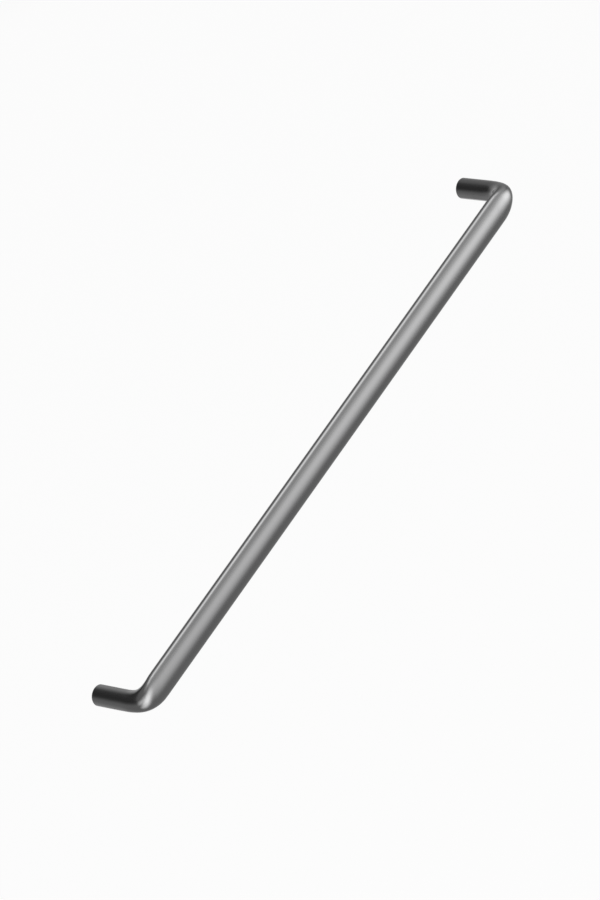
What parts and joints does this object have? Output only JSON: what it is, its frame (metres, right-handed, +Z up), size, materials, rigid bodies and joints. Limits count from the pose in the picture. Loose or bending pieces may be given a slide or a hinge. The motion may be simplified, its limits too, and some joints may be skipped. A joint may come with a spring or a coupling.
{
  "type": "cabinet handle",
  "caption": "Straight cabinet handle cast in one piece: a flat oval bar whose ends turn back in soft bends into round feet with tapped screw holes.",
  "frame": {"origin": "on the mounting face, midway between the two screw holes", "axes": "+X along the bar, +Y into the cabinet front, +Z up when the handle is fixed across a drawer front"},
  "size_m": [0.33, 0.032, 0.0156],
  "materials": {
    "dark_metal": "satin anthracite plating on a zinc casting"
  },
  "bodies": {
    "root": {"handle": "dark_metal"}
  },
  "joints": []
}
